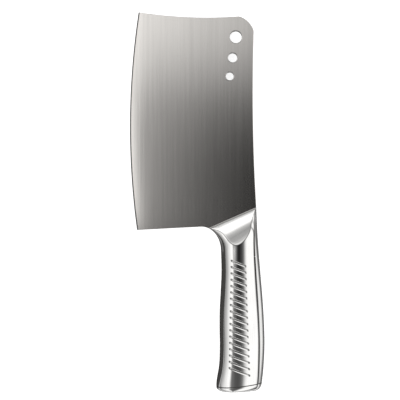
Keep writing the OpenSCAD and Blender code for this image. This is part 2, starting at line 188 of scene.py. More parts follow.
brushing = {
    "low": (0.562, 0.546, 0.529, 1), "high": (0.668, 0.649, 0.629, 1), "paintedEdgeShade": (0.08, 0.078, 0.076, 1),
    "lineWidth": 0.25, "lineLength": 60.0, "streakWider": 8, "streakLonger": 4, "patches": (60, 20, 60),
    "streakShare": 0.5, "lineShare": 0.3, "patchShare": 0.2, "stops": ((0.3, 0), (0.7, 1)),
    "roughness": 0.13, "spread": 0.03, "bump": (0.2, 0.00002),
}


def brushedSteel(bench):
    # noises drawn out along the blade: broad streaks and patches for the colour, fine lines for the bump; the
    # painted shade is a dark line painted along the cutting edge where its bevel reflects dark
    flat = bench.add("ShaderNodeVectorRotate", {"rotation_type": "Z_AXIS"},
                     {0: bench.add("ShaderNodeTexCoord", out=3), "Angle": -layTurn})

    def drawnOut(scale, detail, roughness=0.5):
        return bench.noise(bench.add("ShaderNodeMapping", None, {0: flat, 3: scale}), 1.0, detail, roughness)

    def perMetre(wider, longer):
        # noise cells across and along, for lines that much wider and longer than the finest
        sizes = (brushing["lineWidth"] * wider, brushing["lineLength"] * longer)
        across, along = (1 / size / mm for size in sizes)
        return across, along, across

    broad = drawnOut(perMetre(brushing["streakWider"], brushing["streakLonger"]), 3.0)
    lines = drawnOut(perMetre(1, 1), 2.0, 0.6)
    patch = drawnOut(brushing["patches"], 2.0)
    mask = broad * brushing["streakShare"] + lines * brushing["lineShare"] + patch * brushing["patchShare"]
    colour = bench.tint(brushing["low"], brushing["high"], bench.ramp(mask, brushing["stops"]))
    rough = (lines - 0.5) * brushing["spread"] + (broad - 0.5) * brushing["spread"] + brushing["roughness"]
    return bench.steel(bench.paintedDark(colour, brushing["paintedEdgeShade"]), rough, (lines, *brushing["bump"]))


# polished steel; its darkest colour is painted shade for the grooves, the crease and the ramp's rim
polish = {
    "low": (0.76, 0.757, 0.752, 1), "high": (0.84, 0.838, 0.832, 1), "paintedDark": (0.1, 0.098, 0.095, 1),
    "buffing": (1500, 60, 1500), "drift": 60.0, "stops": ((0.3, 0), (0.7, 1)),
    "roughness": 0.055, "spread": 0.03, "bump": (0.05, 0.000005),
}


def polishedSteel(bench):
    # near mirror, with faint buffing lines along the handle and a slow drift in the polish; the painted shade
    # darkens the grooves, the round of the crease and the ramp's rim, where they read dark
    lines = bench.noise(bench.spot(polish["buffing"]), 1.0)
    drift = bench.noise(bench.spot(), polish["drift"])
    mask = bench.ramp(lines * 0.5 + drift * 0.5, polish["stops"])
    colour = bench.paintedDark(bench.tint(polish["low"], polish["high"], mask), polish["paintedDark"])
    rough = (lines - 0.5) * polish["spread"] + (drift - 0.5) * polish["spread"] + polish["roughness"]
    return bench.steel(colour, rough, (lines, *polish["bump"]))


# Satin steels with even grains: dressed welds with a cloud of tone, the thin butt seam painted near black as
# painted shade for the dark gap it reads as, and rolled strip and pins as they come. Grain and cloud are a
# noise's scale and detail
dressing = {"low": (0.36, 0.355, 0.345, 1), "high": (0.52, 0.513, 0.5, 1), "roughness": 0.3, "spread": 0.2,
            "grain": (2500.0, 3.0), "cloud": (300.0, 2.0), "bump": (0.3, 0.00002)}
seamPaintedShade = {"low": (0.07, 0.068, 0.066, 1), "high": (0.16, 0.157, 0.153, 1), "roughness": 0.4, "spread": 0.2,
            "grain": (1500.0, 3.0)}
innerPlain = {"low": (0.38, 0.375, 0.37, 1), "high": (0.52, 0.515, 0.51, 1), "roughness": 0.45, "spread": 0.2,
              "grain": (400.0, 4.0)}


def satinSteel(look):
    # the grain makes colour and roughness vary, and a bump where the look has one
    def body(bench):
        grain = bench.noise(bench.spot(), *look["grain"])
        mask = grain
        if "cloud" in look:
            mask = grain * 0.5 + bench.noise(bench.spot(), *look["cloud"]) * 0.5
        rough = (grain - 0.5) * look["spread"] + look["roughness"]
        bump = (grain, *look["bump"]) if "bump" in look else None
        return bench.steel(bench.tint(look["low"], look["high"], mask), rough, bump)
    return body


finishes = {
    "blade_steel": newFinish("brushedSteel", brushedSteel),
    "polished_steel": newFinish("polishedSteel", polishedSteel),
    "weld_steel": newFinish("weldSteel", satinSteel(dressing)),
    "inner_steel": newFinish("innerSteel", satinSteel(innerPlain)),
}
paintedSeamFinish = newFinish("paintedShadeSeam", satinSteel(seamPaintedShade))
print("finishes mixed:", len(finishes))


# Meshes: rings of points joined by quads, and a maker that turns them into a piece
def ringQuads(rings, around=False):
    # quad between ring r and r + 1, from point i to i + 1; around joins the last ring to the first as well
    rows, count = rings.shape[:2]
    r = np.arange(rows if around else rows - 1)[:, None] * count
    i = np.arange(count)[None, :]
    j = (i + 1) % count
    quads = np.stack([r + i, r + j, r + count + j, r + count + i], -1) % (rows * count)
    return quads.reshape(-1, 4).tolist()


def ringEnds(rings):
    # the first and the last ring, each filled by one face
    rows, count = rings.shape[:2]
    return [list(range(count)), list(range((rows - 1) * count, rows * count))]


def makePiece(name, points, faces, node, slotName, soil=None, sharpAngle=40.0):
    # points laid in place, smooth but for its sharp edges; it rides on the one body and stands for its node
    mesh = bpy.data.meshes.new(name)
    mesh.from_pydata(laid(points).reshape(-1, 3).tolist(), [], faces)
    # the optional attribute carries painted shade: where the finish paints a dark line for shade or dark
    # reflection
    if soil is not None:
        mesh.attributes.new("soil", "FLOAT", "POINT").data.foreach_set("value", soil.astype(np.float32))
    work = bmesh.new()
    work.from_mesh(mesh)
    bmesh.ops.recalc_face_normals(work, faces=work.faces)
    work.to_mesh(mesh)
    work.free()
    mesh.polygons.foreach_set("use_smooth", np.ones(len(mesh.polygons), bool))
    mesh.set_sharp_from_angle(angle=math.radians(sharpAngle))
    mesh.materials.append(finishes[slotName])
    piece = bpy.data.objects.new(name, mesh)
    bpy.context.scene.collection.objects.link(piece)
    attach(piece, "root")
    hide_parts(node)
    print("piece made:", name, len(mesh.polygons), "faces")
    return piece


# The handle's outline and heights: shares of its length and width, as in the frame's drawing
handle = {
    "length": 145.0, "width": 36.0, "thick": 22.4, "creaseHeight": 7.3,
    "crownShare": -0.433, "buttCrownShare": -0.49, "crownFrom": 0.4, "crownTo": 0.95,
    "neckReach": 43.4, "neckAt": 14.8, "neckLength": 19.0, "wall": 1.2, "fit": 0.05,
    "seam": 0.8, "seamSunk": 0.04, "seamSlant": 5.0, "buttSeam": 0.75, "buttSlant": -1.2,
    "bolsterEnd": 37.4, "spigotEnd": 45.4, "capAt": 139.3, "buttAt": 144.2,
    "flankLow": 0.3, "flankFrom": 10.0, "flankTo": 28.0, "flankPower": 8,
    "fullness": 0.47, "buttFullness": 0.42, "fullnessFrom": 105.0, "fullnessTo": 133.0,
    "creaseFillet": 1.0, "filletShare": 0.4, "facetPower": 2.2, "lineBlur": 0.016,
}
spineShares = [(-0.02, -0.003), (0, 0), (0.115, 0.018), (0.235, 0.049), (0.35, 0.087), (0.45, 0.121),
               (0.55, 0.15), (0.65, 0.17), (0.75, 0.179), (0.85, 0.164), (0.93, 0.137), (1, 0.098)]
bellyShares = [(0.2, -0.784), (0.235, -0.777), (0.35, -0.768), (0.45, -0.784), (0.55, -0.806), (0.65, -0.81),
               (0.75, -0.804), (0.85, -0.819), (0.93, -0.874), (0.965, -0.885), (1, -0.868)]
facetShares = [(-0.02, 0.012), (0, 0.02), (0.115, 0.074), (0.235, 0.107), (0.35, 0.122), (0.45, 0.131),
               (0.55, 0.135), (0.65, 0.134), (0.75, 0.133), (0.85, 0.121), (0.93, 0.104), (1, 0.09)]
crownShares = [(-0.02, 0.95), (0.2, 0.955), (0.35, 0.98), (0.5, 1), (0.65, 1), (0.8, 0.985), (1, 0.96)]
creaseShares = [(-0.02, 0.12), (0, 0.16), (0.057, 0.42), (0.115, 0.9), (0.175, 1), (0.5, 1), (1, 0.97)]


def cubicThrough(rows, t):
    # cubic between rows of (place, value), the slope at a row being that between its neighbours
    at, value = np.array(rows, float).T
    index = np.arange(len(at))
    low, high = np.maximum(index - 1, 0), np.minimum(index + 1, len(at) - 1)
    slope = (value[high] - value[low]) / (at[high] - at[low])
    i = np.clip(np.searchsorted(at, t, side="right") - 1, 0, len(at) - 2)
    step = at[i + 1] - at[i]
    s = (t - at[i]) / step
    inside = (value[i] * (2 * s ** 3 - 3 * s ** 2 + 1) + slope[i] * step * (s ** 3 - 2 * s ** 2 + s)
              + value[i + 1] * (3 * s ** 2 - 2 * s ** 3) + slope[i + 1] * step * (s ** 3 - s ** 2))
    before = value[0] + slope[0] * (t - at[0])
    after = value[-1] + slope[-1] * (t - at[-1])
    return np.where(t < at[0], before, np.where(t > at[-1], after, inside))


def evened(rows):
    # the cubic averaged over a bell of a small share of the handle, so that reflections run evenly
    step, blur = 0.001, handle["lineBlur"]
    grid = np.arange(-0.25, 1.25, step)
    steps = round(3 * blur / step)
    reach = np.arange(-steps, steps + 1) * step
    bell = np.exp(-0.5 * (reach / blur) ** 2)
    soft = np.convolve(cubicThrough(rows, grid), bell / bell.sum(), mode="same")
    return lambda t: np.interp(t, grid, soft)


spineCurve, bellyCurve, facetCurve = evened(spineShares), evened(bellyShares), evened(facetShares)
crownCurve, creaseCurve = evened(crownShares), evened(creaseShares)
neckEnd = handle["neckAt"] + handle["neckLength"]
seamHalf = handle["seam"] / 2
shellFrom = handle["bolsterEnd"] + handle["seam"]
shellTo = handle["capAt"] - handle["buttSeam"]
clearance = handle["wall"] + handle["fit"]


def eased(t, low, high):
    # from 0 at low to 1 at high, by three squares of the share less two cubes
    s = np.clip((t - low) / (high - low), 0, 1)
    return s * s * (3 - 2 * s)


def crownAt(v):
    # the highest line moves towards the belly on its way to the butt
    move = eased(v / handle["length"], handle["crownFrom"], handle["crownTo"])
    return handle["width"] * (handle["crownShare"] + (handle["buttCrownShare"] - handle["crownShare"]) * move)


def spineAt(v):
    # the width times the spine's curve
    return handle["width"] * spineCurve(v / handle["length"])


def bellyAt(v):
    # a quarter ellipse for the neck, then the grip's own line
    grip = handle["width"] * bellyCurve(v / handle["length"])
    start = handle["width"] * bellyCurve(neckEnd / handle["length"])
    s = np.clip((neckEnd - v) / handle["neckLength"], 0, 1)
    neck = -handle["neckReach"] + (start + handle["neckReach"]) * np.sqrt(1 - s * s)
    return np.where(v < neckEnd, neck, grip)


def crownHeightAt(v):
    # half the thickness times the crown's curve
    return handle["thick"] / 2 * crownCurve(v / handle["length"])


def creaseXAt(v):
    # in from the spine by the width times the facet's curve
    return spineAt(v) - handle["width"] * facetCurve(v / handle["length"])


def creaseHeightAt(v):
    # the crease's full height times its curve
    return handle["creaseHeight"] * creaseCurve(v / handle["length"])


def flankAt(v):
    # how much of the crown's height the flank beside the ramp keeps
    return handle["flankLow"] + (1 - handle["flankLow"]) * eased(v, handle["flankFrom"], handle["flankTo"])


def fullnessAt(v):
    # the belly side gets squarer towards the butt
    move = eased(v, handle["fullnessFrom"], handle["fullnessTo"])
    return handle["fullness"] + (handle["buttFullness"] - handle["fullness"]) * move


def buttTilt(v):
    # rings lean until they match the slant of the butt seam, and then the other way to the butt's end
    seam, end = (math.tan(math.radians(handle[key])) for key in ("seamSlant", "buttSlant"))
    rise = seam * eased(v, handle["spigotEnd"], handle["capAt"])
    return rise - (seam + end) * eased(v, handle["capAt"], handle["buttAt"])


# Columns across half a section: part 0 belly, 1 crown to crease, 2 round of the crease, 3 rounded facet
def columnsOf(belly, crown, fillet, facet):
    parts = [np.full(len(t), k) for k, t in enumerate((belly, crown, fillet, facet))]
    return np.concatenate(parts), np.concatenate([belly, crown, fillet, facet])


def evenColumns(belly, crown, fillet, facet):
    # each part's columns evenly from 0 to 1, without the ends that its neighbours hold
    return columnsOf(np.linspace(0, 1, belly)[:-1], np.linspace(0, 1, crown), np.linspace(0, 1, fillet)[1:-1],
                     np.linspace(0, 1, facet))


def halfSection(v, columns, footHeight=0.0, inset=0.0):
    # v holds a row for each ring; the result is x and z for every column of every ring
    part, t = columns
    v = np.broadcast_to(np.asarray(v, float), (v.shape[0], len(t)))
    belly, spine, crown = bellyAt(v), spineAt(v), crownHeightAt(v)
    creaseX, creaseZ, crownX = creaseXAt(v), creaseHeightAt(v), crownAt(v)
    flank, power = flankAt(v), 2 * fullnessAt(v)
    foot = footHeight / (1 - inset / crown)
    # belly: x by the cosine and z by a power of the sine of one angle, held down beside the ramp
    low = np.arcsin(np.clip(foot / crown / flank, 0, 1) ** (1 / power))
    angle = low + (math.pi / 2 - low) * t
    bellyX = crownX - (crownX - belly) * np.cos(angle)
    bellyZ = crown * np.sin(angle) ** power * (flank + (1 - flank) * np.sin(angle) ** handle["flankPower"])
    # crown to crease: a parabola; facet: a power curve on its side; between them a quadratic arc
    crownSpan = np.hypot(creaseX - crownX, crown - creaseZ)
    facetSpan = np.hypot(spine - creaseX, creaseZ)
    crownEnd = 1 - np.minimum(handle["creaseFillet"] / crownSpan, handle["filletShare"])
    facetStart = np.minimum(handle["creaseFillet"] / facetSpan, handle["filletShare"])

    def onCrown(s):
        return crownX + (creaseX - crownX) * s, crown - (crown - creaseZ) * s * s

    def onFacet(s):
        return spine - (spine - creaseX) * (1 - s) ** handle["facetPower"], creaseZ * (1 - s)

    crownPoint = onCrown(t * crownEnd)
    facetPoint = onFacet(facetStart + t * (1 - foot / creaseZ - facetStart))
    (ax, az), (bx, bz) = onCrown(crownEnd), onFacet(facetStart)
    roundX = (1 - t) ** 2 * ax + 2 * t * (1 - t) * creaseX + t * t * bx
    roundZ = (1 - t) ** 2 * az + 2 * t * (1 - t) * creaseZ + t * t * bz
    x = np.choose(part, [bellyX, crownPoint[0], roundX, facetPoint[0]])
    z = np.choose(part, [bellyZ, crownPoint[1], roundZ, facetPoint[1]])
    reach = np.where(x < crownX, crownX - belly, spine - crownX)
    return crownX + (x - crownX) * (1 - inset / reach), z * (1 - inset / crown)


def ringPoints(v, x, z):
    # leaning rings: a ring's level drops towards the belly
    return np.stack([x, -(v + buttTilt(v) * (crownAt(v) - x)), z], -1)


def wrapped(rows, sign=1):
    # the front half of each ring, followed by its mirror image on the back
    return np.hstack([rows, sign * rows[:, -2:0:-1]])


def fullRing(v, columns, inset=0.0):
    # whole rings from the belly over the front to the spine and back under
    v = np.atleast_1d(np.asarray(v, float))[:, None]
    x, z = halfSection(v, columns, 0.0, inset)
    x, z = wrapped(x), wrapped(z, -1)
    return ringPoints(np.broadcast_to(v, x.shape), x, z)


# Painted shade: a dark line painted in the round of the crease, where it reflects dark: (level, share)
creasePaintedShade = [(0, 0.95), (45, 0.85), (65, 0.4), (100, 0.3), (120, 0.6), (138, 0.75), (150, 0.6)]


def paintedShadeAtCrease(v, columns):
    # the share at that level times the root of a sine across the round
    part, t = columns
    middle = np.where(part == 2, np.sqrt(np.sin(math.pi * t)), 0.0)
    return np.interp(v, *np.array(creasePaintedShade, float).T) * middle


plainColumns = evenColumns(41, 31, 6, 13)


# Grip shells. Columns are given as a share of the way, and how many come before and after it
grip = {
    "rows": 520, "bellyColumns": (0.6, 22, 34), "crownColumns": (0.58, 46, 18), "innerColumns": 7,
    "grooves": 18, "pitch": 4.93, "slant": 21.0, "radius": 0.95, "depth": 0.5, "start": 42.6, "lip": 0.03,
    "leftShare": -0.555, "rightShare": -0.267, "leftSpread": 0.05, "rightSpread": 0.085,
    "soil": 0.55, "endPaintedShade": 0.9, "paintedShadeTo": 0.2, "paintedShadeFade": 0.35, "paintedShadeDepth": 0.3,
}


def nearestGroove(x, v):
    # distance across the nearest slanted line, and distance past its end (negative inside)
    slant = math.radians(grip["slant"])
    crownLine = handle["crownShare"] * handle["width"]
    place = (v - grip["start"] - (x - crownLine) * math.tan(slant)) / grip["pitch"]
    index = np.clip(np.round(place), 0, grip["grooves"] - 1)
    left = (grip["leftShare"] - index / grip["grooves"] * grip["leftSpread"]) * handle["width"]
    right = (grip["rightShare"] + index / grip["grooves"] * grip["rightSpread"]) * handle["width"]
    over = np.maximum(left - x, x - right) / math.cos(slant)
    return (place - index) * grip["pitch"] * math.cos(slant), over


def grooveDepth(x, v):
    # depth below the surface: a round bottom about the nearest slanted line, with softened lips
    across, over = nearestGroove(x, v)
    away = np.sqrt(np.maximum(over, 0) ** 2 + across ** 2)
    cut = np.sqrt(np.maximum(grip["radius"] ** 2 - away ** 2, 0)) - (grip["radius"] - grip["depth"])
    return (cut + np.sqrt(cut * cut + grip["lip"] ** 2)) / 2


def groovePaintedShade(x, v):
    # share of painted shade by the place across the nearest line: full on the upper wall, gone before the lower
    # edge, and more in the round ends; it paints the dark reflection and shadow in the grooves
    across, over = nearestGroove(x, v)
    clean = eased(across / grip["radius"], grip["paintedShadeTo"], grip["paintedShadeTo"] + grip["paintedShadeFade"])
    ends = np.clip((over + grip["radius"] / 2) / grip["radius"], 0, 1)
    share = grip["soil"] * (1 - clean)
    share = share + (grip["endPaintedShade"] - share) * ends
    return np.clip(grooveDepth(x, v) / (grip["paintedShadeDepth"] * grip["depth"]), 0, 1) * share


def twoPart(share, before, after):
    # places from 0 to 1 in two even runs that meet at the share
    return np.concatenate([np.linspace(0, share, before)[:-1], np.linspace(share, 1, after)])


def gripShell(name, node, side):
    # the half section as skin, sunk by the grooves' depth along its own normal, with a smooth lining inside
    rows = np.linspace(shellFrom, shellTo, grip["rows"])[:, None]
    outer = columnsOf(twoPart(*grip["bellyColumns"])[:-1], twoPart(*grip["crownColumns"]),
                      np.linspace(0, 1, 6)[1:-1], np.linspace(0, 1, 12))
    x, z = halfSection(rows, outer, seamHalf)
    skin = ringPoints(np.broadcast_to(rows, x.shape), x, z)
    normal = unit(np.cross(np.gradient(skin, axis=1), np.gradient(skin, axis=0)))
    # outwards is up on this half
    normal = normal * np.sign(normal[..., 2:3] + 1e-9)
    # painted shade: dark in the grooves and in the round of the crease, where the polish reflects dark
    soil = groovePaintedShade(x, -skin[..., 1]) + paintedShadeAtCrease(rows, outer)
    skin = skin - normal * grooveDepth(x, -skin[..., 1])[..., None]
    inner = evenColumns(grip["innerColumns"], grip["innerColumns"], 3, 5)
    ix, iz = halfSection(rows, inner, seamHalf, handle["wall"])
    lining = ringPoints(np.broadcast_to(rows, ix.shape), ix, iz)
    soil = np.concatenate([soil, np.zeros(lining.shape[:2])], 1)
    loop = np.concatenate([skin, lining[:, ::-1]], 1)
    loop[..., 2] *= side
    return makePiece(name, loop, ringQuads(loop) + ringEnds(loop), node, "polished_steel", soil.ravel())


gripShell("gripFront", "front_shell", 1)
gripShell("gripBack", "back_shell", -1)


# Long seams between the two shells: a strip as thick as the sheet, dressed almost flush
def longSeam(name, node, inward):
    # its outside follows the half section's belly or facet near the middle plane
    rows = np.linspace(shellFrom, shellTo, grip["rows"])[:, None]
    height = seamHalf * np.array([-1, -0.5, 0, 0.5, 1])
    if inward > 0:
        reach = np.sqrt(1 - (np.abs(height) / crownHeightAt(rows)) ** (1 / fullnessAt(rows)))
        outX = crownAt(rows) - (crownAt(rows) - bellyAt(rows)) * reach
    else:
        share = np.abs(height) / creaseHeightAt(rows)
        outX = spineAt(rows) - (spineAt(rows) - creaseXAt(rows)) * share ** handle["facetPower"]
    sunk = handle["seamSunk"] * np.array([0, 1, 1, 1, 0])
    x = np.hstack([outX + np.sign(inward) * sunk, outX[:, -1:] + inward, outX[:, :1] + inward])
    z = np.broadcast_to(np.concatenate([height, [seamHalf, -seamHalf]]), x.shape)
    loop = ringPoints(np.broadcast_to(rows, x.shape), x, z)
    return makePiece(name, loop, ringQuads(loop) + ringEnds(loop), node, "polished_steel")


longSeam("bellySeam", "belly_seam_weld", handle["wall"])
longSeam("spineSeam", "spine_seam_weld", -handle["wall"])


# Ring seams: a closed band between two levels, sunk by half a sine between its edges
ringBand = {"rows": 7, "buttSink": 0.3, "buttEdgeSink": 0.25}


def ringSeam(name, node, slotName, low, high, sink=0.0, edgeSink=0.0):
    levels = np.linspace(low, high, ringBand["rows"])
    depth = edgeSink + (sink - edgeSink) * np.sin(np.linspace(0, math.pi, ringBand["rows"]))
    outer = [fullRing(level, plainColumns, d) for level, d in zip(levels, depth)]
    inner = [fullRing(level, plainColumns, handle["wall"]) for level in levels[::-1]]
    rings = np.concatenate(outer + inner)
    return makePiece(name, rings, ringQuads(rings, around=True), node, slotName)


ringSeam("bolsterSeam", "bolster_seam_weld", "polished_steel", handle["bolsterEnd"], shellFrom)
buttSeam = ringSeam("buttSeam", "butt_seam_weld", "weld_steel", shellTo, handle["capAt"],
                    ringBand["buttSink"], ringBand["buttEdgeSink"])
# the butt seam gets the near black finish: painted shade along the seam
buttSeam.data.materials[0] = paintedSeamFinish


# Butt cap: lip inside the shells, then the outside, rounded over to a slightly bulging end
cap = {"edge": 3.5, "bulge": 0.5, "lip": 5.0, "chamfer": 0.06, "bodyFrom": 0.5}


def buttCap():
    start, lipEnd = handle["capAt"], shellTo - cap["lip"]
    domeFrom = handle["buttAt"] - cap["bulge"] - cap["edge"]
    # (level, inset) of each ring: lip, chamfer, body and a quarter round
    steps = [(shellTo, clearance + handle["wall"]), (lipEnd, clearance + handle["wall"]), (lipEnd, clearance),
             (shellTo, clearance), (start, clearance), (start, cap["chamfer"]), (start + cap["chamfer"], 0.0)]
    steps += [(level, 0.0) for level in np.linspace(start + cap["bodyFrom"], domeFrom, 5)[:-1]]
    steps += [(domeFrom + cap["edge"] * math.sin(a), cap["edge"] * (1 - math.cos(a)))
              for a in np.linspace(0, math.pi / 2, 19)]
    rings = np.array([fullRing(level, plainColumns, inset)[0] for level, inset in steps])
    # the end draws in to its middle while it bulges by a parabola
    rim, middle = rings[-1], rings[-1].mean(0)
    left = 1 - np.linspace(0, 1, 11)[1:-1, None, None]
    end = middle + (rim - middle) * left
    end[..., 1] -= cap["bulge"] * (1 - left[..., 0] ** 2)
    rings = np.concatenate([rings, end])
    tip = middle - np.array([0, cap["bulge"], 0])
    points = np.concatenate([rings.reshape(-1, 3), tip[None]])
    last = np.arange(len(points) - 1 - rings.shape[1], len(points) - 1)
    fan = np.column_stack([last, np.roll(last, -1), np.full_like(last, len(points) - 1)])
    faces = ringQuads(rings) + ringEnds(rings)[:1] + fan.tolist()
    return makePiece("buttCap", points, faces, "butt_cap", "polished_steel")


buttCap()


# Bolster head: its rows run from the slanted junction to the ring seam
junction = {
    "slant": 23.6, "inset": 1.6, "filletWidth": 1.2, "filletFoot": 0.3, "weldLift": 0.01, "plate": 2.2,
    "rampLength": 20.8, "rampRound": 10.0, "twist": 0.055, "rampCrown": -0.0004, "ridge": 0.02,
    "dip": 0.1, "dipReach": 0.25, "rimPaintedShade": 0.14, "rimPaintedShadeFrom": (2.0, 16.0),
    "slotMiddle": -15.5, "slotHalf": 8.05, "slotHalfThick": 0.95,
    "rows": 220, "rowSpread": 1.15, "halfSteps": 60,
}
lean = math.radians(junction["slant"])
plateHalf = junction["plate"] / 2
rampRise = float(crownHeightAt(np.array(neckEnd))) - plateHalf
rampAngle = math.atan(rampRise / junction["rampLength"]) + math.radians(junction["rampRound"])
rampRadius = math.hypot(junction["rampLength"], rampRise) / 2 / math.sin(math.radians(junction["rampRound"]))
rampCentre = (rampRadius * math.sin(rampAngle), plateHalf - rampRadius * math.cos(rampAngle))


def fromJunction(x, v):
    # distance from the junction towards the handle
    return (x + junction["inset"]) * math.sin(lean) + v * math.cos(lean)


def rampHeight(away):
    # an arc of a circle from the plate to the crown
    return rampCentre[1] + np.sqrt(rampRadius ** 2 - (away - rampCentre[0]) ** 2)


def levelOfLine(x, away):
    # level at which the line at that distance from the junction passes x
    return (away - (x + junction["inset"]) * math.sin(lean)) / math.cos(lean)


def slantedRows(shares, columns, footHeight=0.0, away=0.0):
    # each point's level and x depend on each other, so both are settled in small half steps
    v = np.full((len(shares), len(columns[1])), handle["bolsterEnd"] / 2)
    for _ in range(junction["halfSteps"]):
        x, z = halfSection(v, columns, footHeight)
        top = levelOfLine(x, away)
        v = (v + top + (handle["bolsterEnd"] - top) * shares[:, None]) / 2
    return v, x, z


def bolsterHead():
    # the lower of two surfaces, the grip's own round and the ramp's arc, with a slightly rounded edge
    columns = evenColumns(101, 96, 6, 15)
    shares = np.linspace(0, 1, junction["rows"]) ** junction["rowSpread"]
    v, x, z = slantedRows(shares, columns, 0.0, junction["filletWidth"])
    away = fromJunction(x, v)
    # the ramp twists a little on its way, by the square of the distance, and is crowned by a parabola across
    side = x - crownAt(v)
    ramp = rampHeight(away) - junction["twist"] * side * (away / junction["rampLength"]) ** 2
    ramp = ramp - junction["rampCrown"] * side ** 2
    # it dips just inside its outline, by an exponential of the height between crown and ramp
    ramp = ramp - junction["dip"] * np.exp(-np.maximum(z - ramp, 0) / junction["dipReach"]) * (z > ramp)
    # painted shade: a thin dark line painted along the ramp's rim, where its edge reads dark, and in the round
    # of the crease below the ramp
    rim = np.exp(-((z - ramp) / junction["rimPaintedShade"]) ** 2) * eased(v, *junction["rimPaintedShadeFrom"])
    soil = np.maximum(rim, paintedShadeAtCrease(v, columns) * (z < ramp))
    top = (z + ramp - np.sqrt((z - ramp) ** 2 + junction["ridge"] ** 2)) / 2
    z = np.where(z < plateHalf, z, np.maximum(top, 0))
    # two rows under the weld lead in to the end that faces the blade
    seat = plateHalf - junction["filletFoot"]
    lead = [slantedRows(np.zeros(1), columns, 0.0, distance) for distance in (0.0, junction["filletWidth"])]
    lead = [(leadV, leadX, np.minimum(leadZ, seat)) for leadV, leadX, leadZ in lead]
    v, x, z = (np.vstack(parts) for parts in zip(*lead, (v, x, z)))
    soil = wrapped(np.vstack([np.zeros((len(lead), soil.shape[1])), soil])).ravel()
    head = np.stack([wrapped(x), -wrapped(v), wrapped(z, -1)], -1)
    spigot = [fullRing(level, columns, clearance) for level in (handle["bolsterEnd"], handle["spigotEnd"])]
    rings = np.concatenate([head] + spigot)
    count = rings.shape[1]
    # the slot for the tang runs through from end to end
    corners = [(junction["slotMiddle"] + a * junction["slotHalf"], b * junction["slotHalfThick"])
               for a, b in ((-1, -1), (1, -1), (1, 1), (-1, 1))]
    slot = np.array([[(cx, -float(levelOfLine(cx, 0.0)), cz) for cx, cz in corners],
                     [(cx, -handle["spigotEnd"], cz) for cx, cz in corners]])
    base = len(rings) * count
    points = np.concatenate([rings.reshape(-1, 3), slot.reshape(-1, 3)])
    faces = ringQuads(rings) + (np.array(ringQuads(slot)) + base).tolist()
    for start, hole in ((0, base), (base - count, base + 4)):
        order = [*range(start, start + count), *range(hole, hole + 4)]
        loops = [[Vector(points[k]) for k in part] for part in (order[:count], order[count:])]
        faces += [[order[k] for k in triangle] for triangle in tessellate_polygon(loops)]
    soil = np.concatenate([soil, np.zeros(len(points) - len(soil))])
    return makePiece("bolsterHead", points, faces, "bolster", "polished_steel", soil, sharpAngle=30.0)


bolsterHead()


# Weld fillets along the junction, front and back
def bladeWeld(name, node, side):
    # its top rises over the plate by half the sum of the share and its square, up to the ramp's own height
    columns = evenColumns(60, 50, 4, 8)
    seat = plateHalf - junction["filletFoot"]
    width = junction["filletWidth"]
    rise = float(rampHeight(width)) - plateHalf
    steps = [0.0, *np.linspace(0, 1, 9), 1.0]
    rings = []
    for k, s in enumerate(steps):
        line = slantedRows(np.zeros(1), columns, seat + junction["weldLift"], width * s)
        v, x, z = (values[0] for values in line)
        top = np.minimum(z, plateHalf + rise * s * (1 + s) / 2)
        height = np.full_like(x, seat) if k in (0, len(steps) - 1) else top
        rings.append(np.stack([x, -v, side * height], -1))
    rings = np.array(rings).transpose(1, 0, 2)
    return makePiece(name, rings, ringQuads(rings) + ringEnds(rings), node, "weld_steel", sharpAngle=50.0)


bladeWeld("bladeWeldFront", "blade_weld_front", 1)
bladeWeld("bladeWeldBack", "blade_weld_back", -1)


# Blade: a ground zone along the edge, and a flat with three holes. The dark line painted along the edge,
# painted shade for the bevel's dark reflection, is given as (distance in, share of painted shade)
blade = {
    "length": 172.1, "width": 100.0, "edgeRadius": 600.0, "lowShare": 0.475, "edgeThick": 0.2,
    "bevelWidth": 1.0, "bevelThick": 1.2, "grindWidth": 45.0, "grindPower": 6.0, "heelDrop": 17.4,
    "spineLean": 1.7, "spineHollow": 1.9, "endDrop": 3.4, "endHollow": 2.35, "cornerReach": 12.0,
    "cornerFullness": 1.55,
    "round": 0.3, "edgeRound": 0.04, "jointRound": 0.01, "paintedEdgeShade": ((0.0, 1), (0.7, 1), (1.2, 0)),
    "holes": ((16.3, 19.7, 4.75), (16.5, 3.65), (14.8, 3.15)), "holeRound": 0.5,
    "rows": 25, "rowSpread": 1.6, "columns": 141, "flatMargin": 0.3, "neckTurn": 0.6, "linePoints": 400,
}
edgeCentre = np.array([blade["edgeRadius"] - blade["width"],
                       blade["lowShare"] * blade["length"] - blade["heelDrop"]])
farY = blade["length"] - blade["heelDrop"]


def edgeX(y):
    # the cutting edge is an arc of a circle
    return edgeCentre[0] - np.sqrt(blade["edgeRadius"] ** 2 - (y - edgeCentre[1]) ** 2)


def fromEdge(points):
    # distance in from the cutting edge
    return blade["edgeRadius"] - np.hypot(*(points - edgeCentre).T)


def hollowLine(start, end, depth, s):
    # a straight line with a shallow parabola to its left
    start, end = np.array(start, float), np.array(end, float)
    step = end - start
    side = unit(np.array([-step[1], step[0]]))
    return start + step * s[:, None] + side * (4 * depth * s * (1 - s))[:, None]


def movedIn(line, distance):
    # the line shifted to its left by a distance, along its own normal
    along = unit(np.gradient(line, axis=0))
    return line + np.stack([-along[:, 1], along[:, 0]], -1) * distance


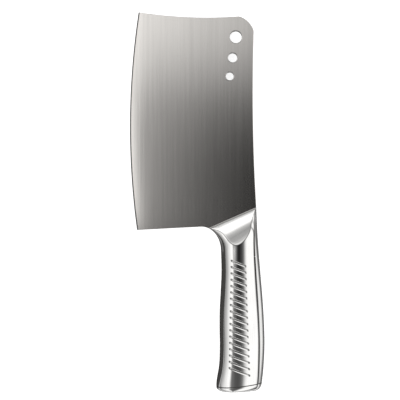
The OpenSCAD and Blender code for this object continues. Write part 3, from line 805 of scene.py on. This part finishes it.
def movedOut(corners, distance, share):
    # a closed loop whose sides each move out by a share of their distance, and meet again where they cross
    side = unit(np.roll(corners, -1, 0) - corners)
    normal = np.stack([side[:, 1], -side[:, 0]], -1)
    before, near = np.roll(normal, 1, 0), np.roll(distance, 1)
    cross = before[:, 0] * normal[:, 1] - before[:, 1] * normal[:, 0]
    # where two sides run on almost straight, their crossing is too far off, so the normal serves
    bent = np.abs(cross) > 0.05
    safe = np.where(bent, cross, 1)
    shiftX = np.where(bent, (near * normal[:, 1] - distance * before[:, 1]) / safe, normal[:, 0] * distance)
    shiftY = np.where(bent, (distance * before[:, 0] - near * normal[:, 0]) / safe, normal[:, 1] * distance)
    return corners + np.stack([shiftX, shiftY], -1) * share


def plateHeight(d):
    # half the plate's thickness at a distance in from the edge: bevel, rounded grind, flat
    s = np.clip((d - blade["bevelWidth"]) / (blade["grindWidth"] - blade["bevelWidth"]), 0, 1)
    ground = plateHalf - (junction["plate"] - blade["bevelThick"]) / 2 * (1 - s) ** blade["grindPower"]
    bevel = blade["edgeThick"] / 2 + (blade["bevelThick"] - blade["edgeThick"]) / 2 * d / blade["bevelWidth"]
    return np.where(d < blade["bevelWidth"], bevel, ground)


def clippedAtJunction(line):
    # the part of a line on the blade's side of the junction, with the crossing point at its end or start
    side = -fromJunction(line[:, 0], -line[:, 1])
    keep = side >= 0
    edge = np.flatnonzero(keep[1:] != keep[:-1])[0]
    share = side[edge] / (side[edge] - side[edge + 1])
    crossing = line[edge] + (line[edge + 1] - line[edge]) * share
    kept = line[keep]
    return np.vstack([kept, crossing]) if keep[0] else np.vstack([crossing, kept])


def bladeOutline():
    # in one turn, the blade on its left, and in by the round of its edges: heel, neck, spine, corner, far end.
    # Lines start a little early and end a little late where they are cut to the next one
    heelCorner = np.array([float(edgeX(-blade["heelDrop"])), -blade["heelDrop"]])
    farCorner = np.array([float(edgeX(farY)), farY])
    spineCorner = np.array([-blade["spineLean"], farY - blade["endDrop"]])
    heel = np.linspace(heelCorner, [-handle["neckReach"], -handle["neckAt"]], blade["linePoints"])
    # the neck is the quarter ellipse of the handle's belly
    turn = np.linspace(0, blade["neckTurn"], blade["linePoints"] // 2)
    start = handle["width"] * float(bellyCurve(neckEnd / handle["length"]))
    neck = np.stack([-handle["neckReach"] + (start + handle["neckReach"]) * np.sin(turn),
                     handle["neckLength"] * np.cos(turn) - neckEnd], -1)
    reach = blade["cornerReach"]
    spine = hollowLine((0, 0), spineCorner, blade["spineHollow"],
                       np.linspace(-0.01, 1 - reach / spineCorner[1], blade["linePoints"]))
    middle = spine[-1] - np.array([reach, 0])
    crest = np.array([middle[0], spineCorner[1]])
    # the corner's coordinates are a power of the cosine and of the sine
    around = np.linspace(0, math.pi / 2, 60)[1:-1]
    bend = 2 / blade["cornerFullness"]
    corner = np.stack([reach * np.cos(around) ** bend, (crest[1] - middle[1]) * np.sin(around) ** bend], -1)
    far = hollowLine(crest, farCorner, blade["endHollow"], np.linspace(0, 1.02, blade["linePoints"]))
    rest = movedIn(np.vstack([spine, middle + corner, far]), blade["round"])
    spine, corner, far = np.split(rest, np.cumsum([len(spine), len(corner)]))
    heel, neck = movedIn(heel, blade["round"]), movedIn(neck, blade["round"])
    return heel, clippedAtJunction(neck)[1:], clippedAtJunction(spine), corner, far


def bladePlate():
    heel, neck, spine, corner, far = bladeOutline()
    # ground zone: arcs about the edge's centre, each from the heel line to the far line
    grind = np.linspace(0, 1, blade["rows"])[1:] ** blade["rowSpread"]
    depths = np.concatenate([[blade["edgeRound"], blade["paintedEdgeShade"][1][0], blade["bevelWidth"]],
                             blade["bevelWidth"] + (blade["grindWidth"] - blade["bevelWidth"]) * grind])
    radii = blade["edgeRadius"] - depths

    def angleWhere(line):
        # angle at which the line crosses each arc
        rel = line - edgeCentre
        radius, angle = np.hypot(rel[:, 0], rel[:, 1]), np.arctan2(rel[:, 1], -rel[:, 0])
        order = np.argsort(radius)
        return np.interp(radii, radius[order], angle[order])

    # the heel's line runs on past its corner, so that every arc crosses it
    heelOut = np.vstack([heel[0] - (heel[1] - heel[0]) * 20, heel])
    low, high = angleWhere(heelOut), angleWhere(far)
    angle = low[:, None] + (high - low)[:, None] * np.linspace(0, 1, blade["columns"])
    ground = edgeCentre + radii[:, None, None] * np.stack([-np.cos(angle), np.sin(angle)], -1)
    gridIndex = np.arange(angle.size).reshape(angle.shape)

    # the flat: what is left of the outline, past the last arc
    flatFrom = blade["grindWidth"] + blade["flatMargin"]
    heelRest, farRest = (line[fromEdge(line) > flatFrom][::6] for line in (heel, far))
    joint = np.linspace(neck[-1], spine[0], 40)[1:-1]
    rest = np.vstack([heelRest, neck[::4], neck[-1:], joint, spine[::5], corner, farRest])
    restIndex = angle.size + np.arange(len(rest))
    loop = np.concatenate([gridIndex[-1, :1], restIndex, gridIndex[::-1, -1][:1],
                           gridIndex[::-1, -1][1:], gridIndex[0, ::-1][1:], gridIndex[:, 0][1:-1]])
    flat = np.vstack([ground.reshape(-1, 2), rest])
    height = np.concatenate([np.repeat(plateHeight(depths), blade["columns"]), np.full(len(rest), plateHalf)])

    # holes, each a step on along the slanted row
    turnRow = math.radians(holeRow["slant"])
    row = -np.array([math.sin(turnRow), math.cos(turnRow)])
    (insetX, drop, radius), (step1, radius2), (step2, radius3) = blade["holes"]
    centre = np.array([-insetX, farY - drop])
    holes = [(centre, radius), (centre + row * step1, radius2), (centre + row * (step1 + step2), radius3)]
    around = np.linspace(0, 2 * math.pi, 97)[:-1]
    circle = np.stack([np.cos(around), np.sin(around)], -1)
    holeLoops = []
    for middle, radius in holes:
        holeLoops.append(len(flat) + np.arange(len(circle)))
        flat = np.vstack([flat, middle + circle * (radius + blade["holeRound"])])
        height = np.concatenate([height, np.full(len(circle), plateHalf)])

    # front face: ground grid plus a triangulated flat; back face: the same, turned over
    lower, upper = gridIndex[:-1], gridIndex[1:]
    front = np.stack([lower[:, :-1], lower[:, 1:], upper[:, 1:], upper[:, :-1]], -1).reshape(-1, 4).tolist()
    order = [np.concatenate([restIndex, gridIndex[-1, ::-1]])] + holeLoops
    table = np.concatenate(order)
    loops = [[Vector((*flat[k], 0)) for k in part] for part in order]
    front += [[int(table[k]) for k in triangle] for triangle in tessellate_polygon(loops)]
    total = len(flat)
    points = [np.column_stack([flat, height]), np.column_stack([flat, -height])]
    faces = front + [[k + total for k in face[::-1]] for face in front]

    def wall(loopIndex, distance, fall):
        # three steps of a quarter round out from the face, straight down, and the same steps mirrored
        base, face = flat[loopIndex], height[loopIndex]
        rings = [np.column_stack([movedOut(base, distance, math.sin(a)), face - fall * (1 - math.cos(a))])
                 for a in np.radians([30, 60, 90])]
        rings += [ring * np.array([1, 1, -1]) for ring in rings[::-1]]
        used, count = sum(len(part) for part in points), len(loopIndex)
        points.extend(rings)
        added = [used + k * count + np.arange(count) for k in range(len(rings))]
        chain = [loopIndex, *added, loopIndex + total]
        for first, second in zip(chain[:-1], chain[1:]):
            faces.extend(np.stack([first, np.roll(first, -1), np.roll(second, -1), second], -1).tolist())

    # the cutting edge is rounded less than the rest, and the joint with the bolster hardly
    onEdge = np.zeros(total, bool)
    onEdge[gridIndex[0]] = True
    joinLow = angle.size + len(heelRest) + len(neck[::4])
    onJoint = (loop >= joinLow) & (loop <= joinLow + 1 + len(joint))
    segment = np.where(onEdge[loop] & onEdge[np.roll(loop, -1)], blade["edgeRound"], blade["round"])
    segment = np.where(onJoint, blade["jointRound"], segment)
    wall(loop, segment, np.where(onEdge[loop], blade["edgeRound"], blade["round"]))
    for ring in holeLoops:
        holeRound = np.full(len(ring), blade["holeRound"])
        wall(ring[::-1], holeRound, holeRound)
    points = np.vstack(points)
    # painted shade: the colour darkens along the cutting edge, painted in for the bevel's dark reflection
    soil = np.interp(fromEdge(points[:, :2]), *np.array(blade["paintedEdgeShade"], float).T)
    return makePiece("bladePlate", points, faces, "blade", "blade_steel", soil, sharpAngle=8.0)


bladePlate()

# Pieces inside the handle keep their own meshes
for name in ("tang", "tang_pins", "tang_weld"):
    inside = frame["nodes"][name]
    inside.data.materials.clear()
    inside.data.materials.append(finishes["inner_steel"])
print("inner pieces finished")


# Floor: pale, white to the camera, and it keeps the knife's shadow; the metal sees it dark, as beside black
# cards, and bright away from the spine, beyond the butt and in a spot beside the neck. Stops are (metres,
# brightness). A ramp starts at 0, so neckAcross, neckAlong and both fades count from half a metre before it
floorSet = {
    "size": 3.0, "colour": (0.86, 0.86, 0.86, 1), "paler": (0.9, 0.9, 0.9, 1), "grain": 40.0, "white": 0.85,
    "inMetal": (0.09, 0.088, 0.086, 1), "shift": 0.5,
    "spineSide": ((0, 0), (0.048, 0), (0.054, 0.2), (0.066, 0.2), (0.075, 0.08), (0.095, 0.08), (0.115, 0.15),
                  (0.16, 0.45), (0.4, 1)),
    "spineFades": ((0.3, 0.3), (0.35, 1)),
    "buttSide": ((0, 0), (0.152, 0), (0.16, 0.35), (0.19, 0.6), (1, 0.8)),
    "buttFades": ((0.56, 1), (0.6, 0.3)),
    "neckSide": 0.5, "neckAcross": ((0.44, 0), (0.47, 1), (0.498, 1), (0.508, 0)),
    "neckAlong": ((0.459, 0), (0.464, 1), (0.53, 1), (0.56, 0)),
}


def pureFloor(bench):
    # the glow in metal: two ramps, each faded along the other way, and the product of two ramps by the neck
    glossyRay = bench.add("ShaderNodeLightPath", out="Is Glossy Ray")
    cameraRay = bench.add("ShaderNodeLightPath", out="Is Camera Ray")
    pale = bench.tint(floorSet["colour"], floorSet["paler"], bench.noise(bench.spot(), floorSet["grain"]))
    matte = bench.add("ShaderNodeBsdfDiffuse", None, {0: bench.tint(pale, floorSet["inMetal"], glossyRay)})
    place = bench.add("ShaderNodeTexCoord", out=3)
    side, end = (bench.add("ShaderNodeSeparateXYZ", None, {0: place}, out=k) for k in (0, 1))
    sideShifted, endShifted = side + floorSet["shift"], end + floorSet["shift"]
    spine = bench.ramp(side, floorSet["spineSide"]) * bench.ramp(endShifted, floorSet["spineFades"])
    butt = bench.ramp(end * -1, floorSet["buttSide"]) * bench.ramp(sideShifted, floorSet["buttFades"])
    neck = bench.ramp(sideShifted, floorSet["neckAcross"]) * bench.ramp(endShifted, floorSet["neckAlong"])
    far = spine + butt + neck * floorSet["neckSide"]
    glow = bench.add("ShaderNodeEmission", None,
                     {0: (1, 1, 1, 1), 1: cameraRay * floorSet["white"] + glossyRay * far})
    return bench.add("ShaderNodeAddShader", None, {0: matte, 1: glow})


half = floorSet["size"] / 2
floorCorners = [(-half, -half, 0), (half, -half, 0), (half, half, 0), (-half, half, 0)]
floorMesh = bpy.data.meshes.new("floor")
floorMesh.from_pydata(floorCorners, [], [(0, 1, 2, 3)])
floorMesh.materials.append(newFinish("floorWhite", pureFloor))
floor = bpy.data.objects.new("floor", floorMesh)
bpy.context.scene.collection.objects.link(floor)


# Studio: a soft box to the left and one to the right, read as stops of (degrees from overhead, brightness)
# across the knife. By the angle along the knife, leftClosing and rightClosing shift them by some degrees and
# overWeld dims the left one. The far lights are bounded across and along
studio = {
    "room": 0.01, "strength": 1.25, "colour": (1, 0.995, 0.985, 1),
    "leftClosing": ((-90, 14), (-50, 13), (-42, 8), (-34, 1), (-26, 4), (-18, 8), (0, 0)),
    "rightClosing": ((-90, 15), (-30, 15), (-23, 13), (-18, 8), (0, 0)),
    "overWeld": ((-90, 1), (58.5, 1), (60.5, 0.62), (64, 0.45), (90, 0.35)),
    "left": ((-90, 0.17), (-86, 0.26), (-82, 0.32), (-78, 0.36), (-74, 0.41), (-70, 0.47), (-66, 0.54),
             (-62, 0.63), (-58, 0.7), (-54, 0.78), (-46, 0.86), (-42, 0.93), (-38, 1), (-30, 1), (-28.5, 0.9),
             (-26, 0.73), (-24, 0.45), (-22, 0.3), (-18, 0.14), (-11, 0.12), (-6, 0.09), (0, 0.04), (8, 0)),
    "right": ((10, 0), (13, 0.02), (16, 0.03), (20, 0.06), (23, 0.11), (26, 0.2), (28.5, 0.42), (31, 0.64),
              (34.5, 0.9), (38, 1), (56, 1), (59, 0.9), (62, 0.6), (65, 0.25), (68, 0.1), (78, 0.07),
              (82, 0.15), (86, 0.3), (88, 0.5), (90, 0.85)),
}
farLights = {
    "overBlade": {
        "strength": 1.0,
        "across": ((-20, 0.4), (-12, 0.6), (-6, 1), (-1, 0.97), (2, 0.88), (5, 0.85), (10, 0.3), (16, 0)),
        "along": ((3, 0), (5.6, 0.05), (8.6, 0.17), (12.2, 0.63), (16, 1), (19, 0.8), (24, 0))},
    "leftOfBlade": {
        "strength": 1.2,
        "across": ((-24, 0), (-18, 0.9), (-13, 1), (-11, 0.72), (-9, 0.42), (-7, 0.3), (-4.3, 0.215),
                   (-3.2, 0.205), (-2.1, 0.16), (-1, 0.1), (1, 0.062), (4, 0.01), (6, 0)),
        "along": ((-4.5, 0), (-2.5, 0.9), (0, 1), (5, 1.05), (9, 0.81), (12, 0.71), (15, 0.6), (20, 0.54),
                  (26, 0))},
    "overRamp": {
        "strength": 0.36,
        "across": ((-27, 0), (-23, 0.8), (-19, 1), (-16, 1), (-13, 0.62), (-9, 0.55), (0, 0.7), (6, 0.5),
                   (10, 0)),
        "along": ((17, 0), (21, 1), (50, 1), (56, 0.6), (64, 0))},
    "underRamp": {
        "strength": 0.36,
        "across": ((-17, 1), (-9, 1), (-2, 0.7), (4, 0.3), (8, 0)),
        "along": ((20, 0), (23, 1), (27.5, 0.9), (29.5, 0.45), (32, 0.3), (35, 0.2), (37, 0))},
    "pastRamp": {
        "strength": 1.0,
        "across": ((-34, 0), (-28, 0.25), (-25, 0.5), (-22, 0.85), (-19, 1), (4, 1), (12, 0)),
        "along": ((41, 0), (43, 0.1), (44.5, 0.17), (46, 0.5), (48, 0.8), (50, 1), (62, 1), (68, 0.3),
                  (74, 0))},
    "besideRamp": {
        "strength": 1.1,
        "across": ((60, 0), (66, 1), (80, 1), (88, 0)),
        "along": ((30, 0), (40, 1), (75, 1), (84, 0))},
}


def studioSky(bench):
    # angles of a direction in the knife's own frame, each looked up in a ramp
    way = bench.add("ShaderNodeTexCoord")

    def towards(axis):
        dot = {"operation": "DOT_PRODUCT"}
        return bench.add("ShaderNodeVectorMath", dot, {0: way, 1: tuple(axis)}, out=1)

    def fromOverhead(side, up):
        # from 0 at -90 degrees to 1 at 90
        return bench.add("ShaderNodeMath", {"operation": "ARCTAN2"}, {0: side, 1: up}) / math.pi + 0.5

    def lookedUp(angle, stops, whole=1):
        return bench.ramp(angle, [((degrees + 90) / 180, value / whole) for degrees, value in stops])

    x, y, z = (towards(axis) for axis in layAxes)
    across, along = fromOverhead(x, z), fromOverhead(y, z)
    leftShift, rightShift = (lookedUp(along, studio[name], 180) for name in ("leftClosing", "rightClosing"))
    left = lookedUp(across - leftShift, studio["left"]) * lookedUp(along, studio["overWeld"])
    boxes = left + lookedUp(across + rightShift, studio["right"])
    light = boxes * studio["strength"] + studio["room"]
    for far in farLights.values():
        light = light + lookedUp(across, far["across"]) * lookedUp(along, far["along"]) * far["strength"]
    seen = bench.add("ShaderNodeLightPath", out="Is Camera Ray")
    return bench.add("ShaderNodeBackground", None, {0: studio["colour"], 1: light * (1 - seen) + seen})


world = bpy.data.worlds.new("studioSky")
world.use_nodes = True
skyBench = Bench(world.node_tree)
skyBench.add("ShaderNodeOutputWorld", None, {0: studioSky(skyBench)})
bpy.context.scene.world = world

# Camera: straight above the plate, over the middle of the picture
view = {"at": (-44.6, 6.3, 510.0), "field": 316.4, "sensor": 36.0}
cameraData = bpy.data.cameras.new("camera")
cameraData.sensor_width = view["sensor"]
cameraData.sensor_fit = "HORIZONTAL"
cameraData.lens = view["sensor"] * view["at"][2] / view["field"]
camera = bpy.data.objects.new("camera", cameraData)
turnMatrix = Matrix([list(axis) for axis in layAxes]).transposed().to_4x4()
camera.matrix_world = Matrix.Translation(Vector(laid(view["at"]))) @ turnMatrix
bpy.context.scene.collection.objects.link(camera)
bpy.context.scene.camera = camera
bpy.context.scene.view_settings.view_transform = "Standard"
print("studio ready")
